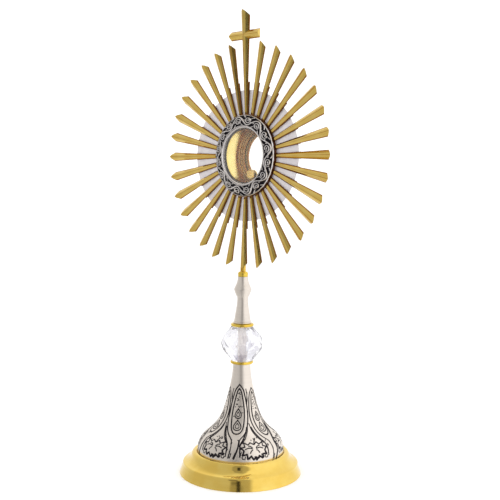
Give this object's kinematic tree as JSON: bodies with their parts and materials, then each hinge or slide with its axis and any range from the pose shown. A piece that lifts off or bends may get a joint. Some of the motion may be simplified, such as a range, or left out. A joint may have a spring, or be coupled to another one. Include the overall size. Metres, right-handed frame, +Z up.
{
  "type": "monstrance",
  "caption": "Sunburst monstrance: turned base, engraved bell foot, stem with crystal knop, and V-section rays around a glazed chamber with a rear door that shows a large host.",
  "frame": {"origin": "centre of the base's underside, on the table under the stem", "axes": "+Z up along the stem; the sunburst lies in the XZ plane and its window faces -Y; the chamber and its door are on the +Y side"},
  "size_m": [0.3406, 0.1868, 0.7001],
  "materials": {
    "gold_brass": "polished",
    "brown_gilt": "satin",
    "satin_silver": "satin",
    "antique_silver": "oxidised",
    "plate_silver": "satin",
    "crystal": "polished",
    "clear_glass": "polished",
    "steel": "plain",
    "felt": "felt"
  },
  "bodies": {
    "root": {"base_foot": "gold_brass", "lower_knop_ring": "gold_brass", "upper_knop_ring": "gold_brass", "stem_collar": "gold_brass", "sun_tang": "gold_brass", "ray_01": "gold_brass", "ray_02": "gold_brass", "ray_03": "gold_brass", "ray_04": "gold_brass", "ray_05": "gold_brass", "ray_06": "gold_brass", "ray_07": "gold_brass", "ray_08": "gold_brass", "ray_09": "gold_brass", "ray_10": "gold_brass", "ray_11": "gold_brass", "ray_12": "gold_brass", "ray_13": "gold_brass", "ray_14": "gold_brass", "ray_15": "gold_brass", "ray_16": "gold_brass", "ray_17": "gold_brass", "ray_18": "gold_brass", "ray_19": "gold_brass", "ray_20": "gold_brass", "ray_21": "gold_brass", "ray_22": "gold_brass", "ray_23": "gold_brass", "ray_24": "gold_brass", "ray_25": "gold_brass", "ray_26": "gold_brass", "ray_27": "gold_brass", "ray_28": "gold_brass", "ray_29": "gold_brass", "ray_30": "gold_brass", "ray_31": "gold_brass", "cross_ray": "gold_brass", "cross_bar": "gold_brass", "rear_ray_star": "gold_brass", "luna_case": "gold_brass", "glass_retainer": "gold_brass", "clip_base": "gold_brass", "clip_screw": "gold_brass", "door_seat": "brown_gilt", "bell_foot": "satin_silver", "knop_sleeve": "satin_silver", "stem_baluster": "satin_silver", "bezel_ring": "antique_silver", "backing_plate": "plate_silver", "crystal_knop": "crystal", "front_glass": "clear_glass", "tie_rod": "steel", "tie_washer": "steel", "tie_nut": "steel", "door_hinge_pin": "steel", "base_pad": "felt"},
    "door": {"door_frame": "brown_gilt", "door_glass": "clear_glass", "door_knob": "gold_brass"},
    "clip_jaw": {"clip_disc": "gold_brass"}
  },
  "joints": [
    {"name": "door_hinge", "type": "hinge", "parent": "root", "child": "door", "pos_m": [0.0525, 0.0412, 0.4845], "axis": [0, 0, -1], "range_deg": [0, 110]},
    {"name": "clip_slide", "type": "slide", "parent": "root", "child": "clip_jaw", "axis": [0, -1, 0], "range_m": [0, 0.003], "stiffness_N_per_m": 300}
  ]
}
